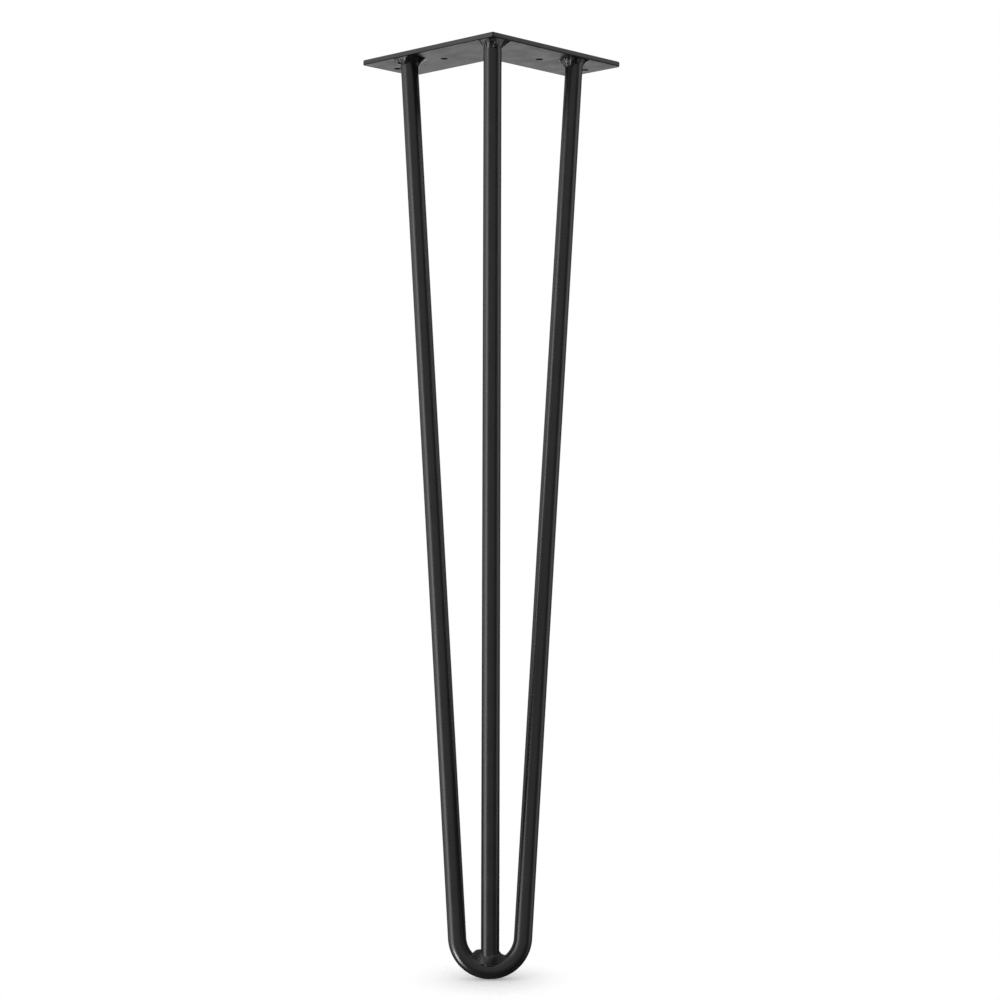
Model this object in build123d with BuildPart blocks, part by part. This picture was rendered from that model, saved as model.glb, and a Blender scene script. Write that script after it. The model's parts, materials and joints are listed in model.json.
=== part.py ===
from build123d import *
import math
import os

# Hairpin table leg: an L-shaped mounting plate, a hairpin of round bar bent at the foot,
# a straight corner rod standing in the bend, and the weld beads that join them.
# Frame: Z up, origin on the mounting face above the corner rod's seat, the plate's outer
# corner towards -Y and its two arms spreading symmetrically towards +Y. Millimetres.

# Overall sizes
leg_height = 720.0  # mounting face to floor
foot_splay = 34.0  # foot out from the corner rod's seat, along the plate's diagonal

# Mounting plate
arm_length = 150.0  # outer corner to the end of an arm
arm_width = 58.0
plate_thickness = 4.0
tip_radius = 3.5  # corners at the ends of the arms
outer_corner_radius = 1.5
inner_corner_radius = 2.0
edge_break = 0.8  # rounding of the sheet's cut edges
hole_diameter = 6.0
hole_margin = 12.0  # outer screw hole back from the end of an arm
hole_pitch = 55.0  # between the two screw holes of an arm

# Round bar
rod_diameter = 14.0
bend_radius = 25.0  # centre line of the foot bend
rod_inset = 10.0  # rod axes in from the plate's outer edges
side_rod_margin = 46.0  # side rod axes back from the ends of the arms
cope_depth = 3.0  # how far the corner rod's end laps down over the bend

# Weld beads
weld_leg = 6.0  # plate beads, along the plate and along the rod
weld_lap = 1.0  # bead ends inside the bar's surface before they are cut to it
ripple_height = 0.7  # ripple crowns above the bead's face
plate_ripples = 12  # ripples round each plate bead
plate_ripple_turn = 45.0  # where they start, on the plate's diagonal
foot_ripples = 12
foot_ripple_turn = 90.0  # where they start, behind the corner rod
foot_weld_reach = 9.0  # widest line of the foot bead beyond the corner rod, along the bend
foot_weld_crown = 1.0  # the same in front of and behind the corner rod
foot_weld_lift = 2.5  # widest line above the corner rod's end

rod_radius = rod_diameter / 2
rod_end_level = rod_radius - cope_depth  # corner rod's end above the bend's centre line

# Stations along an arm, from the outer corner
side_rod_station = arm_length - side_rod_margin
outer_hole_station = arm_length - hole_margin
inner_hole_station = outer_hole_station - hole_pitch

# Plate frame: origin at the outer corner, x along the right arm, y along the left arm
plate_frame = Plane(origin=(0, -math.sqrt(2) * rod_inset, 0), x_dir=(1, 1, 0), z_dir=(0, 0, 1))
underside = plate_frame.offset(-plate_thickness)
corner_seat = underside.from_local_coords((rod_inset, rod_inset))
right_seat = underside.from_local_coords((side_rod_station, rod_inset))
left_seat = underside.from_local_coords((rod_inset, side_rod_station))

# Foot: the lowest point of the bend's centre line
foot_point = Vector(0, -foot_splay, rod_radius - leg_height)

# Hairpin frame: origin at the foot, x across the leg, y up the leg between the two side rods
rise = (right_seat + left_seat) / 2 - foot_point
hairpin_frame = Plane(origin=foot_point, x_dir=(1, 0, 0), z_dir=Vector(1, 0, 0).cross(rise))
half_spread = (right_seat - left_seat).length / 2
bend_to_seat = math.hypot(half_spread, rise.length - bend_radius)
lean = math.atan2(half_spread, rise.length - bend_radius) - math.asin(bend_radius / bend_to_seat)

# Corner rod frame: origin at the foot, z up the rod
corner_rod_frame = Plane(origin=foot_point, x_dir=(1, 0, 0), z_dir=corner_seat - foot_point)


with BuildPart() as mounting_plate:
    with BuildSketch(underside):
        with BuildLine():
            Polyline(
                (0, 0),
                (arm_length, 0),
                (arm_length, arm_width),
                (arm_width, arm_width),
                (arm_width, arm_length),
                (0, arm_length),
                close=True,
            )
        make_face()
        # Each rounding adds vertices further out, so the tips come first and the outer corner last
        fillet(vertices().sort_by_distance(Vector())[2:], tip_radius)
        fillet(vertices().sort_by_distance(Vector())[1], inner_corner_radius)
        fillet(vertices().sort_by_distance(Vector())[0], outer_corner_radius)
        for station in (inner_hole_station, outer_hole_station):
            with Locations((station, arm_width / 2), (arm_width / 2, station)):
                Circle(hole_diameter / 2, mode=Mode.SUBTRACT)
    extrude(amount=plate_thickness)
    for face in mounting_plate.faces().filter_by(Axis.Z):
        fillet(face.outer_wire().edges(), edge_break)


with BuildPart() as hairpin_rod:
    # Each leg leaves the bend at a tangent and runs past the plate before it is trimmed
    tangent_x = bend_radius * math.cos(lean)
    tangent_y = bend_radius * (1 - math.sin(lean))
    untrimmed = math.sqrt(bend_to_seat**2 - bend_radius**2) + rod_diameter
    top_x = tangent_x + untrimmed * math.sin(lean)
    top_y = tangent_y + untrimmed * math.cos(lean)
    with BuildLine(hairpin_frame) as hairpin_line:
        Line((top_x, top_y), (tangent_x, tangent_y))
        ThreePointArc((tangent_x, tangent_y), (0, 0), (-tangent_x, tangent_y))
        Line((-tangent_x, tangent_y), (-top_x, top_y))
    with BuildSketch(Plane(origin=hairpin_line.line @ 0, z_dir=hairpin_line.line % 0)):
        Circle(rod_radius)
    sweep(path=hairpin_line.line)
    split(bisect_by=Plane.XY.offset(-plate_thickness), keep=Keep.BOTTOM)


with BuildPart() as corner_rod:
    with BuildSketch(corner_rod_frame.offset(rod_end_level)):
        Circle(rod_radius)
    extrude(amount=leg_height)
    split(bisect_by=Plane.XY.offset(-plate_thickness), keep=Keep.BOTTOM)
    add(hairpin_rod.part, mode=Mode.SUBTRACT)


def weld_bead(sections, bars):
    """Rippled bead: a ruled loft through scalloped rings, cut to sit on the bars that it joins."""
    with BuildPart() as bead:
        for plane, ring in sections:
            with BuildSketch(plane):
                with BuildLine():
                    for start, end in zip(ring, ring[1:] + ring[:1]):
                        SagittaArc(start, end, -ripple_height)
                make_face()
        loft(ruled=True)
        for bar in bars:
            add(bar, mode=Mode.SUBTRACT)
    return bead


def oval(half_x, half_y, count, first_turn):
    """Points evenly spread round an oval, from an angle in degrees."""
    turns = [math.radians(first_turn + 360 * step / count) for step in range(count)]
    return [(half_x * math.cos(turn), half_y * math.sin(turn)) for turn in turns]


def plate_bead_sections(seat, rod_direction):
    """Rings of a plate bead: its toe on the plate, held inside the outer edges, and its end in the rod."""
    to_edges = underside.to_local_coords(seat)
    toe = []
    for x, y in oval(1, 1, plate_ripples, plate_ripple_turn):
        reach = rod_radius + weld_leg
        for room, outward in ((to_edges.X, -x), (to_edges.Y, -y)):
            if outward > 0:
                reach = min(reach, (room - edge_break - ripple_height) / outward)
        toe.append((reach * x, reach * y))
    rod_end = seat - rod_direction * ((weld_leg + weld_lap) / rod_direction.Z)
    in_rod = oval(rod_radius - weld_lap, rod_radius - weld_lap, plate_ripples, plate_ripple_turn)
    return [
        (Plane(origin=seat, x_dir=plate_frame.x_dir, z_dir=plate_frame.z_dir), toe),
        (Plane(origin=rod_end, x_dir=plate_frame.x_dir, z_dir=plate_frame.z_dir), in_rod),
    ]


corner_weld = weld_bead(plate_bead_sections(corner_seat, corner_rod_frame.z_dir), [corner_rod.part])

left_weld = weld_bead(plate_bead_sections(left_seat, hairpin_line.line % 1), [hairpin_rod.part])

with BuildPart() as right_weld:
    mirror(left_weld.part, about=Plane.YZ)

# Rings of the foot bead: just above the corner rod's end, at its widest line, and up on the rod
foot_rings = [
    (weld_lap, foot_weld_reach - weld_lap, -weld_lap),
    (foot_weld_lift, foot_weld_reach, foot_weld_crown),
    (foot_weld_lift + foot_weld_reach + weld_lap, -weld_lap, -weld_lap),
]
foot_sections = [
    (
        corner_rod_frame.offset(rod_end_level + level),
        oval(rod_radius + reach, rod_radius + crown, foot_ripples, foot_ripple_turn),
    )
    for level, reach, crown in foot_rings
]
foot_weld = weld_bead(foot_sections, [corner_rod.part, hairpin_rod.part])


# The weld metal at the four joints
with BuildPart() as weld_beads:
    for bead in (corner_weld, left_weld, right_weld, foot_weld):
        add(bead.part)


pieces = {
    "mounting_plate": mounting_plate,
    "hairpin_rod": hairpin_rod,
    "corner_rod": corner_rod,
    "weld_beads": weld_beads,
}
os.makedirs("parts", exist_ok=True)
for name, piece in pieces.items():
    piece.part.label = name
    export_step(piece.part, f"parts/{name}.step")
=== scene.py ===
import json
import math

import bmesh
import bpy
from mathutils import Matrix, Vector, noise


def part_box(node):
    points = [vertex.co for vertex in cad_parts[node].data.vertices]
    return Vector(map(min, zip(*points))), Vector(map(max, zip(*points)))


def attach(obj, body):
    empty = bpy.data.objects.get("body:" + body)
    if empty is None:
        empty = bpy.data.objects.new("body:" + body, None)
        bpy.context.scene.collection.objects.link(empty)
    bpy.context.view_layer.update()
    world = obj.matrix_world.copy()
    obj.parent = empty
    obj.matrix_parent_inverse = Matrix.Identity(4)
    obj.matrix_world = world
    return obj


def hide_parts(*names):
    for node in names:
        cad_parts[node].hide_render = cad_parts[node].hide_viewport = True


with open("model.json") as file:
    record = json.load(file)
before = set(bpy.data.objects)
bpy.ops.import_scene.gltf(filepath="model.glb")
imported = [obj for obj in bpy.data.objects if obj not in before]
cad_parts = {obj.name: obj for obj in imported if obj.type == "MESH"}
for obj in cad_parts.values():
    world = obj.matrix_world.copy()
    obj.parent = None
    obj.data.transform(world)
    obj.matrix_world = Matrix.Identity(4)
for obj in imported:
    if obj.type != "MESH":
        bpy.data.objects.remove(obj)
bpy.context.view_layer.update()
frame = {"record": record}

# A hairpin table leg in black powder coat: plate, two bars and four weld beads. Sizes in metres.
millimetre = 0.001

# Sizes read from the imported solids
mounts = {mount["name"]: mount for mount in frame["record"]["mounts"]}
foot = Vector(mounts["foot"]["pos_m"])  # where the bend stands on the floor
plate_low, plate_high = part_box("mounting_plate")
bar_low, bar_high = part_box("corner_rod")
underside = plate_low.z
mounting_face = plate_high.z
bar_radius = (bar_high.x - bar_low.x) / 2

# Sizes that the boxes don't give, as in the solids
arm_length = 0.150
arm_width = 0.058
bar_inset = 0.010  # bar axes in from the plate's outer edges
side_bar_station = 0.104  # side bar axis along an arm, from the outer corner
bend_radius = 0.025  # centre line of the foot bend
cope_depth = 0.003  # how far the corner bar's end laps down over the bend
outer_corner_radius = 0.0015
inner_corner_radius = 0.002
tip_radius = 0.0035
edge_break = 0.0008  # rounding of the sheet's outer edges
hole_break = 0.0001  # rims of the holes, which are sharp in the solids

# Sizes of the weld beads
bead_lap = 0.00015  # toes and ends inside the metal that they meet
bead_depth = 0.002  # back of a bead inside its bar
bead_grain = 500  # noise cells per metre in the unevenness of a bead
dab_circle = 1.2  # circle that the dabs are laid out on, in bar radii
lip_rise = 0.0014  # foot bead's lip above the end of the corner bar, in front

# Fineness of the meshes
bar_sides = 96
bar_ring_spacing = 0.010
bend_rings = 72
cope_rings = 8
cope_halvings = 40  # steps of the search for the cope's surface
rings_left_out = 2  # ring places of the corner bar next to the bend, where the cope comes instead
corner_steps = 10
edge_steps = 5
hole_sides = 48
flat_margin = 0.0003  # flat strip beside each rounded edge
bead_turns = 240
bead_steps = 20

# Camera, fitted to the photograph
image_width = 1000  # pixels
focal_length = 2025.5  # pixels
sensor_width = 36  # millimetres
camera_place = Vector((-0.01426, -1.56271, -0.35838))
camera_yaw = 0.0135  # radians
camera_roll = 0.0032


# Frames of the plate and the bars

outer_corner = Vector((0, -math.sqrt(2) * bar_inset, 0))
right_arm = Vector((1, 1, 0)).normalized()
left_arm = Vector((-1, 1, 0)).normalized()


def on_plate(along_right, along_left, height):
    """Point at distances along the two arms from the outer corner, at a height."""
    place = outer_corner + right_arm * along_right + left_arm * along_left
    place.z = height
    return place


corner_seat = on_plate(bar_inset, bar_inset, underside)
right_seat = on_plate(side_bar_station, bar_inset, underside)
left_seat = on_plate(bar_inset, side_bar_station, underside)

bend_bottom = foot + Vector((0, 0, bar_radius))  # lowest point of the bend's centre line
across = Vector((1, 0, 0))
rise = (right_seat + left_seat) / 2 - bend_bottom
hairpin_up = rise.normalized()
hairpin_normal = across.cross(hairpin_up)
half_spread = (right_seat - left_seat).length / 2
bend_to_seat = math.hypot(half_spread, rise.length - bend_radius)
leg_length = math.sqrt(bend_to_seat**2 - bend_radius**2)
lean = math.atan2(half_spread, rise.length - bend_radius) - math.asin(bend_radius / bend_to_seat)
corner_up = (corner_seat - bend_bottom).normalized()
leg_up = {hand: across * (hand * math.sin(lean)) + hairpin_up * math.cos(lean) for hand in (1, -1)}


def in_hairpin(x, y):
    """Point in the plane of the hairpin, from the lowest point of its centre line."""
    return bend_bottom + across * x + hairpin_up * y


def bend_clearance(place):
    """Distance of a point near the foot from the surface of the bend."""
    local = place - in_hairpin(0, bend_radius)
    in_plane = math.hypot(local.dot(across), local.dot(hairpin_up))
    return math.hypot(in_plane - bend_radius, local.dot(hairpin_normal)) - bar_radius


# Mesh helpers


def new_ring(bm, places):
    return [bm.verts.new(place) for place in places]


def bridge(bm, first, second, coat=0):
    """Closed band of quads between two rings of as many vertices, in one of the piece's coats."""
    for i in range(len(first)):
        j = (i + 1) % len(first)
        bm.faces.new((first[i], first[j], second[j], second[i])).material_index = coat


def close_end(bm, ring):
    """Flat face over a ring, with a sharp rim."""
    for edge in bm.faces.new(ring).edges:
        edge.smooth = False


def make_object(name, bm):
    """Smooth-shaded object from a bmesh, with its faces turned outwards."""
    bmesh.ops.recalc_face_normals(bm, faces=bm.faces)
    mesh = bpy.data.meshes.new(name)
    bm.to_mesh(mesh)
    bm.free()
    mesh.shade_smooth()
    made = bpy.data.objects.new(name, mesh)
    bpy.context.scene.collection.objects.link(made)
    return made


def dress(piece, node, material):
    """Puts a piece in the place of a solid, with its finish."""
    piece.data.materials.append(material)
    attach(piece, "root")
    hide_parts(node)


# Bars


def bar_ring(bm, centre, side, normal):
    turns = [2 * math.pi * step / bar_sides for step in range(bar_sides)]
    return new_ring(
        bm, [centre + (side * math.cos(turn) + normal * math.sin(turn)) * bar_radius for turn in turns]
    )


def trim_to_plate(ring, direction):
    """Slides the vertices of a bar's end along the bar until they meet the plate."""
    for vertex in ring:
        vertex.co += direction * ((underside - vertex.co.z) / direction.z)


def hairpin_stations():
    """Centres and outward sides of the rings down one leg, round the bend and up the other."""
    leg_steps = round(leg_length / bar_ring_spacing)
    half_turn = math.pi / 2 - lean
    bend_turns = [half_turn - 2 * half_turn * step / bend_rings for step in range(bend_rings + 1)]
    legs = {}
    for hand in (1, -1):
        side = Vector((hand * math.cos(lean), -math.sin(lean)))
        tangent = Vector((0, bend_radius)) + side * bend_radius
        up_leg = Vector((hand * math.sin(lean), math.cos(lean)))
        legs[hand] = [
            (tangent + up_leg * (leg_length * step / leg_steps), side) for step in range(leg_steps, 0, -1)
        ]
    bend = []
    for turn in bend_turns:
        side = Vector((math.sin(turn), -math.cos(turn)))
        bend.append((Vector((0, bend_radius)) + side * bend_radius, side))
    return legs[1] + bend + legs[-1][::-1]


def make_hairpin_bar():
    bm = bmesh.new()
    rings = []
    for centre, side in hairpin_stations():
        outward = across * side.x + hairpin_up * side.y
        rings.append(bar_ring(bm, in_hairpin(centre.x, centre.y), outward, hairpin_normal))
    for ring, hand in ((rings[0], 1), (rings[-1], -1)):
        trim_to_plate(ring, leg_up[hand])
    for first, second in zip(rings, rings[1:]):
        bridge(bm, first, second)
    close_end(bm, rings[0])
    close_end(bm, rings[-1])
    return make_object("hairpin_bar", bm)


def coped_height(offset):
    """Height above the bend's centre line at which a line up the corner bar leaves the bend."""
    low = bar_radius - cope_depth
    high = 2 * bar_radius
    if bend_clearance(bend_bottom + offset + corner_up * low) > 0:
        return low
    for _ in range(cope_halvings):
        middle = (low + high) / 2
        if bend_clearance(bend_bottom + offset + corner_up * middle) > 0:
            high = middle
        else:
            low = middle
    return high


def make_corner_bar():
    bm = bmesh.new()
    normal = corner_up.cross(across)
    length = (corner_seat - bend_bottom).length
    steps = round(length / bar_ring_spacing)
    rings = []
    for step in range(steps, rings_left_out, -1):
        rings.append(bar_ring(bm, bend_bottom + corner_up * (length * step / steps), across, normal))
    trim_to_plate(rings[0], corner_up)
    close_end(bm, rings[0])
    rim = len(rings)
    for share in range(cope_rings, 0, -1):
        places = []
        for step in range(bar_sides):
            turn = 2 * math.pi * step / bar_sides
            spoke = across * math.cos(turn) + normal * math.sin(turn)
            offset = spoke * (bar_radius * share / cope_rings)
            places.append(bend_bottom + offset + corner_up * coped_height(offset))
        rings.append(new_ring(bm, places))
    for first, second in zip(rings, rings[1:]):
        bridge(bm, first, second)
    bm.faces.new(rings[-1])
    for first, second in zip(rings[rim], rings[rim][1:] + rings[rim][:1]):
        bm.edges.get((first, second)).smooth = False
    return make_object("corner_bar", bm)


# Mounting plate, with its own coat and a darker, duller one on the hole walls, whose darkness is painted
# shade

plate_coat_index = 0
painted_shade_hole_index = 1


def rounded_outline(corners):
    """Points and outward normals round an outline, from its corners and their radii."""
    outline = []
    for i, (corner, radius) in enumerate(corners):
        before = (corners[i - 1][0] - corner).normalized()
        after = (corners[(i + 1) % len(corners)][0] - corner).normalized()
        centre = corner + (before + after) * radius  # the outline's corners are square
        turning = before.x * after.y - before.y * after.x
        outward = 1 if turning < 0 else -1
        for step in range(corner_steps + 1):
            turn = math.pi / 2 * step / corner_steps
            spoke = -(after * math.cos(turn) + before * math.sin(turn))
            outline.append((centre + spoke * radius, spoke * outward))
    return outline


def circle_outline(centre, radius):
    """Points round a hole, with normals that point into the hole."""
    spokes = []
    for step in range(hole_sides):
        turn = 2 * math.pi * step / hole_sides
        spokes.append(Vector((math.cos(turn), math.sin(turn))))
    return [(centre + spoke * radius, -spoke) for spoke in spokes]


def plate_outlines():
    """Points and outward normals of the plate's outline and of its four holes."""
    corners = [
        (Vector((0, 0)), outer_corner_radius),
        (Vector((arm_length, 0)), tip_radius),
        (Vector((arm_length, arm_width)), tip_radius),
        (Vector((arm_width, arm_width)), inner_corner_radius),
        (Vector((arm_width, arm_length)), tip_radius),
        (Vector((0, arm_length)), tip_radius),
    ]
    outlines = [
        [
            (on_plate(place.x, place.y, 0), right_arm * normal.x + left_arm * normal.y)
            for place, normal in rounded_outline(corners)
        ]
    ]
    for name in ("inner_screws", "outer_screws"):
        middle = Vector(mounts[name]["pos_m"])
        dims = mounts[name]["dims"]
        for hand in (1, -1):
            centre = middle + across * (hand * dims["spacing_x_mm"] * millimetre / 2)
            circle = circle_outline(centre.to_2d(), dims["hole_r_mm"] * millimetre)
            outlines.append([(place.to_3d(), normal.to_3d()) for place, normal in circle])
    return outlines


def edge_profile(rounding):
    """Insets and heights down a plate edge, from the flat of one face to the flat of the other."""
    top = [(rounding + flat_margin, mounting_face)]
    for step in range(edge_steps + 1):
        turn = math.pi / 2 * step / edge_steps
        top.append((rounding * (1 - math.sin(turn)), mounting_face - rounding * (1 - math.cos(turn))))
    bottom = [(inset, mounting_face + underside - height) for inset, height in reversed(top)]
    return top + bottom


def make_plate():
    bm = bmesh.new()
    faces = {"top": [], "bottom": []}
    outer, *holes = plate_outlines()
    walls = [(outer, edge_break, plate_coat_index)]
    walls += [(hole, hole_break, painted_shade_hole_index) for hole in holes]
    for outline, rounding, coat in walls:
        rings = []
        for inset, height in edge_profile(rounding):
            level = Vector((0, 0, height))
            rings.append(new_ring(bm, [place - normal * inset + level for place, normal in outline]))
        bridge(bm, rings[0], rings[1])
        for first, second in zip(rings[1:], rings[2:-1]):
            bridge(bm, first, second, coat)
        bridge(bm, rings[-2], rings[-1])
        for face, ring in (("top", rings[0]), ("bottom", rings[-1])):
            for first, second in zip(ring, ring[1:] + ring[:1]):
                faces[face].append(bm.edges.get((first, second)))
    for edges in faces.values():
        bmesh.ops.triangle_fill(bm, edges=edges, use_beauty=True)
    return make_object("top_plate", bm)


# Weld beads
#
# A bead runs once round its bar. At each turn its face is a curve from a toe on the plate or the bend to an
# end on the bar. Turns are in degrees, from the right, with the front at -90. Sizes in the tables are in mm.
# Leg is the toe's distance from the bar, and height is the end's distance along the bar. Fullness is 0 for a
# hollow face, 1 for a flat one and more for a bulging one. A ridge has a turn, a width in degrees and a
# height. A dab has a turn, its share of the way from toe to end, a radius and a height. In front, the foot
# bead ends in a lip above the bend: its fill is 0 there, and 1 where its toe is on the bend.

corner_bead = {
    "unevenness": 0.15,
    "leg": [
        (-180, 4.5), (-150, 4.5), (-120, 3.0), (-90, 2.6), (-65, 4.5), (-45, 6.5), (-25, 7.5), (10, 7.5),
        (80, 6),
    ],
    "height": [(-180, 5.5), (-140, 7.2), (-100, 7.5), (-60, 7.5), (-10, 6.5), (60, 6), (120, 6)],
    "fullness": [
        (-180, 0.8), (-140, 0.9), (-118, 0.7), (-90, 0.8), (-70, 1.1), (-30, 1.05), (-10, 0.9), (30, 0.7),
    ],
    "ridges": [
        (-170, 5, 0.5), (-156, 4, 0.6), (-143, 4, 0.5), (-131, 4, 0.8), (-20, 5, -0.4),
        (30, 8, 0.35), (54, 8, 0.35), (78, 8, 0.35), (102, 8, 0.35), (126, 8, 0.35), (150, 8, 0.35),
    ],
    "dabs": [
        (-106, 0.45, 1.6, 0.3), (-90, 0.30, 1.4, 0.4), (-72, 0.45, 1.2, 0.5),
        (-81, 0.75, 1.1, 0.8), (-12, 0.10, 0.8, 0.5), (-13, 0.35, 0.8, 0.5), (-12, 0.60, 0.8, 0.5),
    ],
}
left_bead = {
    "unevenness": 0.15,
    "leg": [
        (-180, 5.5), (-150, 4.5), (-120, 3), (-90, 4), (-60, 6), (-20, 7.5), (30, 7.5), (100, 6), (150, 6),
    ],
    "height": [(-180, 5.2), (-135, 6), (-105, 6), (-85, 5), (-45, 6), (0, 7.5), (90, 6)],
    "fullness": [
        (-180, 1.4), (-150, 1.2), (-130, 1.1), (-95, 0.8), (-60, 0.7), (0, 0.6), (40, 0.6), (120, 0.8),
    ],
    "ridges": [
        (-175, 5, 0.3), (-118, 5, 0.5),
        (40, 8, 0.35), (64, 8, 0.35), (88, 8, 0.35), (112, 8, 0.35), (136, 8, 0.35),
    ],
    "dabs": [
        (176, 0.45, 2.0, 0.6), (-150, 0.45, 1.3, 0.8), (-133, 0.30, 1.2, 0.9), (-124, 0.75, 1.1, 0.8),
        (-108, 0.40, 1.4, 0.7),
    ],
}
right_bead = {
    "unevenness": 0.15,
    "leg": [
        (-180, 5.5), (-150, 4), (-130, 2.6), (-95, 4.2), (-80, 3.6), (-60, 6), (-20, 5.5), (30, 6), (150, 6),
    ],
    "height": [
        (-180, 8), (-150, 7), (-120, 6.5), (-100, 6.5), (-85, 5.2), (-45, 5.5), (0, 6), (90, 6), (140, 7),
    ],
    "fullness": [(-180, 0.6), (-140, 1.0), (-110, 1.3), (-90, 1.1), (-65, 0.6), (20, 0.6), (120, 0.7)],
    "ridges": [
        (-178, 3.5, 0.55), (-166, 3.5, 0.6), (-155, 3, 0.5),
        (30, 8, 0.35), (54, 8, 0.35), (78, 8, 0.35), (102, 8, 0.35), (126, 8, 0.35), (150, 8, 0.35),
    ],
    "dabs": [
        (-120, 0.35, 1.6, 0.35), (-102, 0.35, 1.6, 0.35), (-110, 0.75, 1.6, 0.6), (-140, 0.80, 0.9, -0.7),
        (-16, 0.15, 0.9, 0.5), (-4, 0.20, 0.9, 0.5), (8, 0.15, 0.9, 0.45),
    ],
}
foot_bead = {
    "unevenness": 0.2,
    "leg": [(-180, 10), (-150, 6), (-120, 3), (-60, 1.5), (-30, 4), (0, 7), (45, 4), (90, 2), (135, 4)],
    "lip": [
        (-180, 5), (-155, 3.2), (-140, 2.4), (-125, 1.8), (-115, 1.4), (-103, 1.0), (-90, 0.7), (-60, 0.4),
        (-40, 0.6), (90, 1),
    ],
    "height": [
        (-180, 6.9), (-155, 5.5), (-125, 7), (-100, 7.6), (-70, 8.6), (-45, 7.5), (-30, 5.5), (0, 6.2),
        (90, 5), (150, 6),
    ],
    "fullness": [
        (-180, 1.35), (-150, 1.4), (-135, 1.25), (-118, 1.2), (-103, 1.3), (-90, 1.4), (-60, 1.4), (-35, 1.2),
        (0, 0.6), (45, 0.8), (135, 1.1),
    ],
    "fill": [(-180, 1), (-168, 1), (-146, 0), (-60, 0), (-30, 1), (90, 1)],
    "ridges": [
        (172, 5, 0.35), (-174, 5, 0.35), (-72, 30, 0.8), (-43, 3, -0.4),
        (20, 8, 0.35), (44, 8, 0.35), (68, 8, 0.35), (92, 8, 0.35), (116, 8, 0.35), (140, 8, 0.35),
    ],
    "dabs": [
        (-28, 0.75, 0.9, 0.5), (-6, 0.30, 1.0, 0.5), (-165, 0.65, 0.9, -0.5), (-150, 0.40, 1.0, 0.4),
        (-66, 0.10, 1.2, -0.5), (-70, 0.70, 2.2, 0.4),
    ],
}


def round_bar(knots, turn):
    """Value at a turn, eased between knots placed round a full turn."""
    turn = knots[0][0] + (turn - knots[0][0]) % 360
    closed = knots + [(knots[0][0] + 360, knots[0][1])]
    for (start, low), (end, high) in zip(closed, closed[1:]):
        if turn <= end:
            share = (turn - start) / (end - start)
            return low + (high - low) * share * share * (3 - 2 * share)


def bead_relief(bead, turn, share, length, place):
    """Height in metres of a bead's ridges, dabs and unevenness above its plain face."""
    swell = math.sin(math.pi * share)
    relief = millimetre * bead["unevenness"] * noise.noise(place * bead_grain) * swell
    for at, width, height in bead["ridges"]:
        apart = (turn - at + 180) % 360 - 180
        relief += millimetre * height * math.exp(-((apart / width) ** 2)) * swell
    for at, along, radius, height in bead["dabs"]:
        apart = math.radians((turn - at + 180) % 360 - 180) * bar_radius * dab_circle
        reach = math.hypot(apart, (share - along) * length)
        relief += millimetre * height * math.exp(-((reach / (millimetre * radius)) ** 2))
    return relief


def bead_profile(bead, turn, toe, corner, end, toe_way, end_way, out):
    """Closed section of a bead: its face from toe to end, and back through the metal behind it."""
    control = corner + ((toe + end) / 2 - corner) * round_bar(bead["fullness"], turn)
    length = (toe - end).length
    section = []
    for step in range(bead_steps + 1):
        share = step / bead_steps
        place = toe * (1 - share) ** 2 + control * (2 * share * (1 - share)) + end * share**2
        way = (toe_way * (1 - share) + end_way * share).normalized()
        section.append(place + way * bead_relief(bead, turn, share, length, place))
    section.append(end - out * bead_depth)
    section.append(corner - out * bead_depth)
    return section


def make_bead(name, profile):
    """Bead from the sections that a profile gives at each turn round its bar."""
    bm = bmesh.new()
    rings = []
    for step in range(bead_turns):
        rings.append(new_ring(bm, profile(360 * step / bead_turns - 180)))
    for first, second in zip(rings, rings[1:] + rings[:1]):
        bridge(bm, first, second)
    return make_object(name, bm)


def make_plate_bead(name, bead, seat, up_bar):
    """Bead round the top of a bar, with its toe inside the plate's outer edges."""

    def profile(turn):
        out = Vector((math.cos(math.radians(turn)), math.sin(math.radians(turn)), 0))
        reach = bar_radius + millimetre * round_bar(bead["leg"], turn)
        for inward in (right_arm, left_arm):
            outward = -out.dot(inward)
            if outward > 0:
                reach = min(reach, ((seat - outer_corner).dot(inward) - edge_break) / outward)
        down = up_bar * (-millimetre * round_bar(bead["height"], turn) / up_bar.z)
        sunk = Vector((0, 0, bead_lap))
        toe = seat + out * reach + sunk
        corner = seat + out * bar_radius + sunk
        end = seat + down + out * (bar_radius - bead_lap)
        return bead_profile(bead, turn, toe, corner, end, out, -up_bar, out)

    return make_bead(name, profile)


def make_foot_bead(name, bead):
    """Bead round the coped end of the corner bar."""
    back = corner_up.cross(across)

    def profile(turn):
        out = across * math.cos(math.radians(turn)) + back * math.sin(math.radians(turn))
        seam = bend_bottom + out * bar_radius
        seam += corner_up * coped_height(out * bar_radius)
        beyond = seam + out * (millimetre * round_bar(bead["leg"], turn))
        spoke = beyond - in_hairpin(0, bend_radius)
        spoke -= hairpin_normal * spoke.dot(hairpin_normal)
        nearest = in_hairpin(0, bend_radius) + spoke.normalized() * bend_radius
        landed = nearest + (beyond - nearest).normalized() * (bar_radius - bead_lap)
        lip = bend_bottom + out * (bar_radius + millimetre * round_bar(bead["lip"], turn))
        lip += corner_up * (bar_radius - cope_depth + lip_rise)
        toe = lip.lerp(landed, round_bar(bead["fill"], turn))
        end = seam + corner_up * (millimetre * round_bar(bead["height"], turn)) - out * bead_lap
        up_face = (end - toe).normalized()
        facing = (out - up_face * out.dot(up_face)).normalized()
        return bead_profile(bead, turn, toe, seam, end, facing, facing, out)

    return make_bead(name, profile)


# Materials

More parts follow.
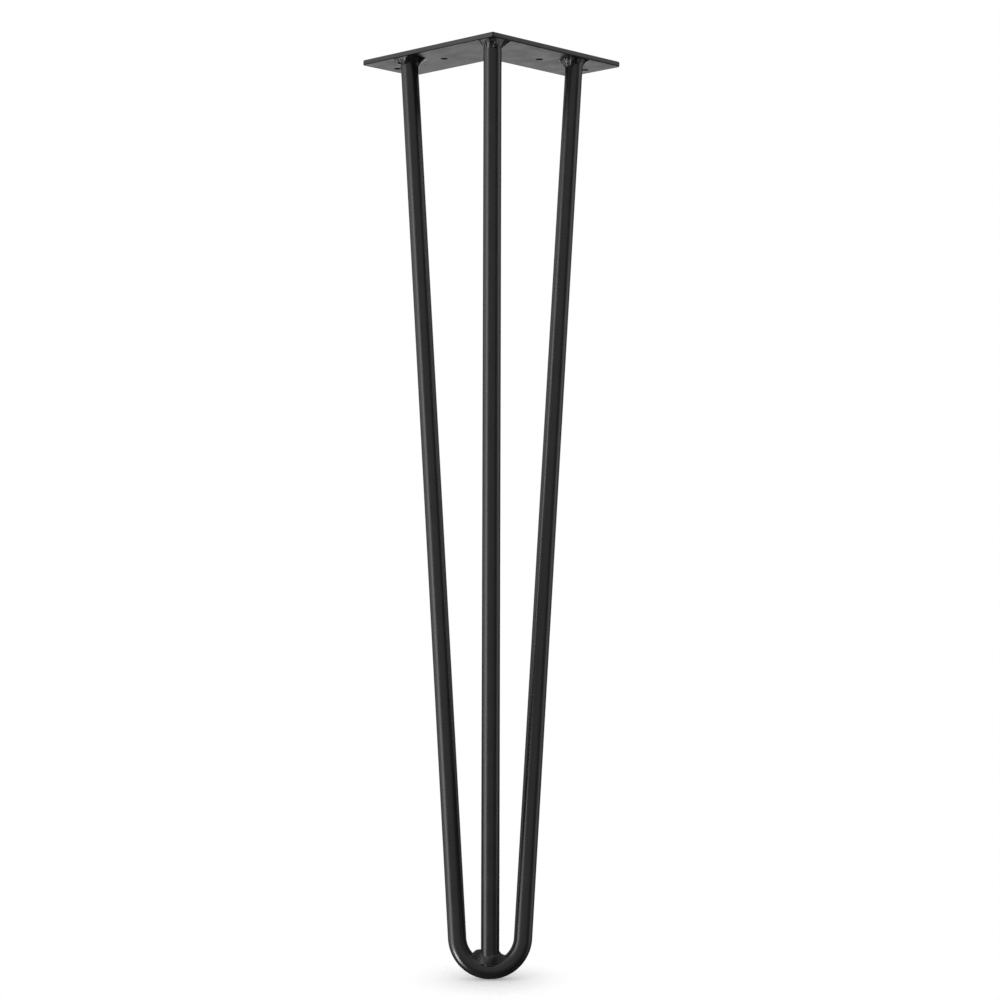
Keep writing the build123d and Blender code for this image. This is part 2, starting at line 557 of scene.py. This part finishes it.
coat_blue = 1.02  # blue of the coat against its red and green
patch_scale = 60  # uneven patches of tone and sheen, in cells per metre
patch_detail = 3
tone_limits = (0.35, 0.65)  # patch values of the darkest and the lightest tone
sheen_limits = (0.3, 0.7)  # patch values of the first and the second roughness of a coat
dust_scale = 260  # dust specks, in cells per metre
speck_limits = (0.04, 0.10)  # from a cell's middle, where a speck begins to fade and where it ends
dust_lightness = 2  # specks against the lightest tone
peel_scale = 900  # orange peel, in cells per metre
peel_detail = 2


def add_node(tree, kind, inputs=None, **settings):
    """Adds a node with its settings. An input given as a socket is linked, any other is a value."""
    node = tree.nodes.new(kind)
    for name, value in settings.items():
        setattr(node, name, value)
    for name, value in (inputs or {}).items():
        if isinstance(value, bpy.types.NodeSocket):
            tree.links.new(value, node.inputs[name])
        else:
            node.inputs[name].default_value = value
    return node


def grey(level):
    return (level, level, level * coat_blue, 1)


def powder_coat(name, dark, light, roughness, peel_height, specular):
    """Satin powder coat: uneven near-black, with dust, patchy sheen and orange peel."""
    material = bpy.data.materials.new(name)
    material.use_nodes = True
    tree = material.node_tree
    shader = tree.nodes["Principled BSDF"]
    shader.inputs["Specular IOR Level"].default_value = specular
    place = add_node(tree, "ShaderNodeTexCoord").outputs["Object"]
    patches = add_node(
        tree, "ShaderNodeTexNoise", {"Vector": place, "Scale": patch_scale, "Detail": patch_detail}
    )
    peel = add_node(
        tree, "ShaderNodeTexNoise", {"Vector": place, "Scale": peel_scale, "Detail": peel_detail}
    )
    specks = add_node(tree, "ShaderNodeTexVoronoi", {"Vector": place, "Scale": dust_scale})
    dust = add_node(
        tree, "ShaderNodeMapRange",
        {"Value": specks.outputs["Distance"], "From Min": speck_limits[0], "From Max": speck_limits[1],
         "To Min": 1.0, "To Max": 0.0},
    )
    tone = add_node(tree, "ShaderNodeValToRGB", {"Fac": patches.outputs["Fac"]})
    tone.color_ramp.elements[0].position = tone_limits[0]
    tone.color_ramp.elements[0].color = grey(dark)
    tone.color_ramp.elements[1].position = tone_limits[1]
    tone.color_ramp.elements[1].color = grey(light)
    # A mix node takes colours at its inputs 6 and 7 and gives one at its output 2
    coat = add_node(
        tree, "ShaderNodeMix",
        {0: dust.outputs["Result"], 6: tone.outputs["Color"], 7: grey(light * dust_lightness)},
        data_type="RGBA",
    )
    sheen = add_node(
        tree, "ShaderNodeMapRange",
        {"Value": patches.outputs["Fac"], "From Min": sheen_limits[0], "From Max": sheen_limits[1],
         "To Min": roughness[0], "To Max": roughness[1]},
    )
    bump = add_node(
        tree, "ShaderNodeBump",
        {"Height": peel.outputs["Fac"], "Distance": peel_height, "Strength": 1.0},
    )
    tree.links.new(coat.outputs[2], shader.inputs["Base Color"])
    tree.links.new(sheen.outputs["Result"], shader.inputs["Roughness"])
    tree.links.new(bump.outputs["Normal"], shader.inputs["Normal"])
    return material


# The leg

bar_coat = powder_coat(
    "bar_coat", dark=0.0100, light=0.0130, roughness=(0.24, 0.31), peel_height=0.000010, specular=0.5
)
plate_coat = powder_coat(
    "plate_coat", dark=0.0105, light=0.0140, roughness=(0.32, 0.40), peel_height=0.000010, specular=0.5
)
# Coat of the hole walls: darker and duller than the plate's, painted shade in the holes
painted_shade_hole_coat = powder_coat(
    "painted_shade_hole_coat", dark=0.0040, light=0.0050, roughness=(0.50, 0.60), peel_height=0.000010, specular=0.1
)
weld_coat = powder_coat(
    "weld_coat", dark=0.0090, light=0.0120, roughness=(0.13, 0.21), peel_height=0.000012, specular=0.75
)
# Coat of the foot bead: a rougher, less glossy copy of the weld coat, whose lighter tone is painted light
foot_weld_painted_light_coat = powder_coat(
    "foot_weld_painted_light_coat", dark=0.0160, light=0.0220, roughness=(0.42, 0.52), peel_height=0.000012, specular=0.3
)

dress(make_hairpin_bar(), "hairpin_rod", bar_coat)
dress(make_corner_bar(), "corner_rod", bar_coat)
plate = make_plate()
dress(plate, "mounting_plate", plate_coat)
plate.data.materials.append(painted_shade_hole_coat)  # second in the list, as painted_shade_hole_index says
for name, bead, seat, up_bar in (
    ("corner_bead", corner_bead, corner_seat, corner_up),
    ("left_bead", left_bead, left_seat, leg_up[-1]),
    ("right_bead", right_bead, right_seat, leg_up[1]),
):
    dress(make_plate_bead(name, bead, seat, up_bar), "weld_beads", weld_coat)
dress(make_foot_bead("foot_bead", foot_bead), "weld_beads", foot_weld_painted_light_coat)


# Floor, backdrop and lights

# Light from all round the leg: degrees from the camera's side, to the right, and level
studio_levels = [
    (-180, 1.0), (-168, 0.8), (-150, 0.15), (-128, 0.25), (-112, 0.8), (-92, 1.0), (-50, 0.6), (-38, 0.30),
    (0, 0.40), (34, 0.38), (50, 0.10), (68, 0.10), (84, 0.80), (100, 1.10), (114, 0.30), (132, 0.12),
    (152, 0.12), (168, 0.8), (180, 1.0),
]
# Parts of a direction, from -1 to 1: its height is 1 straight up, and its depth is 1 straight away
side_heights = (-0.6, 0.15)  # where the light from all round is weakest and strongest
side_shares = (0.1, 1.35)  # of its levels, at these heights
overhead_heights = (0.5, 0.85)  # where the light from overhead begins and where it is full
overhead_level = 1.0
backdrop_depths = (0.93, 0.975)  # where a sheen begins to show the backdrop and where it shows it fully

floor_radius = 0.070
floor_sides = 96
floor_fade = (0.006, 0.0665)  # from the foot, where the floor begins to fade and where it is clear
floor_clearness = 0.3  # before it begins to fade
floor_colour = (0.90, 0.90, 0.90, 1)


def make_floor():
    """Pale disc that fades into the backdrop, clear in a sheen and from below."""
    bm = bmesh.new()
    bmesh.ops.create_circle(
        bm, cap_ends=True, segments=floor_sides, radius=floor_radius, matrix=Matrix.Translation(foot)
    )
    floor = make_object("floor", bm)
    if floor.data.polygons[0].normal.z < 0:
        floor.data.flip_normals()
    material = bpy.data.materials.new("floor_paint")
    material.use_nodes = True
    tree = material.node_tree
    tree.nodes.remove(tree.nodes["Principled BSDF"])
    output = tree.nodes["Material Output"]
    place = add_node(tree, "ShaderNodeTexCoord").outputs["Object"]
    apart = add_node(tree, "ShaderNodeVectorMath", {0: place, 1: foot}, operation="DISTANCE")
    fade = add_node(
        tree, "ShaderNodeMapRange",
        {"Value": apart.outputs["Value"], "From Min": floor_fade[0], "From Max": floor_fade[1],
         "To Min": floor_clearness},
        interpolation_type="SMOOTHSTEP",
    )
    path = add_node(tree, "ShaderNodeLightPath")
    below = add_node(tree, "ShaderNodeNewGeometry").outputs["Backfacing"]
    through = add_node(
        tree, "ShaderNodeMath", {0: below, 1: path.outputs["Is Glossy Ray"]}, operation="MAXIMUM"
    )
    past = add_node(
        tree, "ShaderNodeMath", {0: fade.outputs["Result"], 1: through.outputs[0]}, operation="MAXIMUM"
    )
    paint = add_node(tree, "ShaderNodeBsdfDiffuse", {"Color": floor_colour})
    clear = add_node(tree, "ShaderNodeBsdfTransparent")
    mix = add_node(
        tree, "ShaderNodeMixShader",
        {0: past.outputs[0], 1: paint.outputs[0], 2: clear.outputs[0]},
    )
    tree.links.new(mix.outputs[0], output.inputs["Surface"])
    floor.data.materials.append(material)


def make_world():
    """Studio in front of a white backdrop, lit by azimuth from all round, bright overhead and dim below."""
    world = bpy.data.worlds.new("studio")
    bpy.context.scene.world = world
    world.use_nodes = True
    tree = world.node_tree
    tree.nodes.clear()
    direction = add_node(tree, "ShaderNodeTexCoord").outputs["Generated"]
    axes = add_node(tree, "ShaderNodeSeparateXYZ", {"Vector": direction})
    nearer = add_node(tree, "ShaderNodeMath", {0: axes.outputs["Y"], 1: -1}, operation="MULTIPLY")
    azimuth = add_node(
        tree, "ShaderNodeMath", {0: axes.outputs["X"], 1: nearer.outputs[0]}, operation="ARCTAN2"
    )
    turn = add_node(
        tree, "ShaderNodeMapRange", {"Value": azimuth.outputs[0], "From Min": -math.pi, "From Max": math.pi}
    )
    around = add_node(tree, "ShaderNodeValToRGB", {"Fac": turn.outputs["Result"]})
    stops = around.color_ramp.elements
    for angle, _ in studio_levels[1:-1]:
        stops.new((angle + 180) / 360)
    for stop, (angle, level) in zip(stops, studio_levels):
        stop.position = (angle + 180) / 360
        stop.color = (level, level, level, 1)
    overhead = add_node(
        tree, "ShaderNodeMapRange",
        {"Value": axes.outputs["Z"], "From Min": overhead_heights[0], "From Max": overhead_heights[1]},
        interpolation_type="SMOOTHSTEP",
    )
    share = add_node(
        tree, "ShaderNodeMapRange",
        {"Value": axes.outputs["Z"], "From Min": side_heights[0], "From Max": side_heights[1],
         "To Min": side_shares[0], "To Max": side_shares[1]},
    )
    sides = add_node(
        tree, "ShaderNodeMath", {0: around.outputs["Color"], 1: share.outputs["Result"]}, operation="MULTIPLY"
    )
    # A mix node takes numbers at its inputs 2 and 3 and gives one at its output 0
    strength = add_node(
        tree, "ShaderNodeMix", {0: overhead.outputs["Result"], 2: sides.outputs[0], 3: overhead_level}
    )
    path = add_node(tree, "ShaderNodeLightPath")
    behind = add_node(
        tree, "ShaderNodeMapRange",
        {"Value": axes.outputs["Y"], "From Min": backdrop_depths[0], "From Max": backdrop_depths[1]},
        interpolation_type="SMOOTHSTEP",
    )
    in_sheen = add_node(
        tree, "ShaderNodeMath",
        {0: path.outputs["Is Glossy Ray"], 1: behind.outputs["Result"]}, operation="MULTIPLY",
    )
    seen = add_node(
        tree, "ShaderNodeMath",
        {0: path.outputs["Is Camera Ray"], 1: path.outputs["Is Transmission Ray"]}, operation="MAXIMUM",
    )
    shown = add_node(
        tree, "ShaderNodeMath", {0: seen.outputs[0], 1: in_sheen.outputs[0]}, operation="MAXIMUM"
    )
    studio = add_node(tree, "ShaderNodeBackground", {"Color": (1, 1, 1, 1), "Strength": strength.outputs[0]})
    backdrop = add_node(tree, "ShaderNodeBackground", {"Color": (1, 1, 1, 1), "Strength": 1})
    mix = add_node(
        tree, "ShaderNodeMixShader",
        {0: shown.outputs[0], 1: studio.outputs[0], 2: backdrop.outputs[0]},
    )
    add_node(tree, "ShaderNodeOutputWorld", {"Surface": mix.outputs[0]})


def make_softbox(name, place, aim, width, tall, power, spread):
    """Softbox turned to a point, whose grid spreads its light over an angle."""
    light = bpy.data.lights.new(name, "AREA")
    light.shape = "RECTANGLE"
    light.size = width
    light.size_y = tall
    light.energy = power
    light.spread = math.radians(spread)
    lamp = bpy.data.objects.new(name, light)
    lamp.location = place
    lamp.rotation_euler = (aim - place).to_track_quat("-Z", "Y").to_euler()
    bpy.context.scene.collection.objects.link(lamp)


def make_camera():
    data = bpy.data.cameras.new("camera")
    data.sensor_width = sensor_width
    data.lens = sensor_width * focal_length / image_width
    camera = bpy.data.objects.new("camera", data)
    ahead = Vector((math.sin(camera_yaw), math.cos(camera_yaw), 0))
    right = Vector((ahead.y, -ahead.x, 0))
    up = Vector((0, 0, 1))
    rolled_right = right * math.cos(camera_roll) + up * math.sin(camera_roll)
    rolled_up = up * math.cos(camera_roll) - right * math.sin(camera_roll)
    turn = Matrix((rolled_right, rolled_up, -ahead)).transposed().to_4x4()
    camera.matrix_world = Matrix.Translation(camera_place) @ turn
    bpy.context.scene.collection.objects.link(camera)
    bpy.context.scene.camera = camera


make_floor()
make_world()
make_softbox(
    "key_softbox",
    place=Vector((-1.20, -0.51, -0.66)),
    aim=Vector((0, 0, -0.36)),
    width=0.62,
    tall=2.5,
    power=12.5,
    spread=180,
)
make_softbox(
    "low_softbox",
    place=Vector((-0.98, -0.46, -1.32)),
    aim=bend_bottom,
    width=0.35,
    tall=0.4,
    power=0.4,
    spread=35,
)
make_camera()
bpy.context.scene.view_settings.view_transform = "Standard"
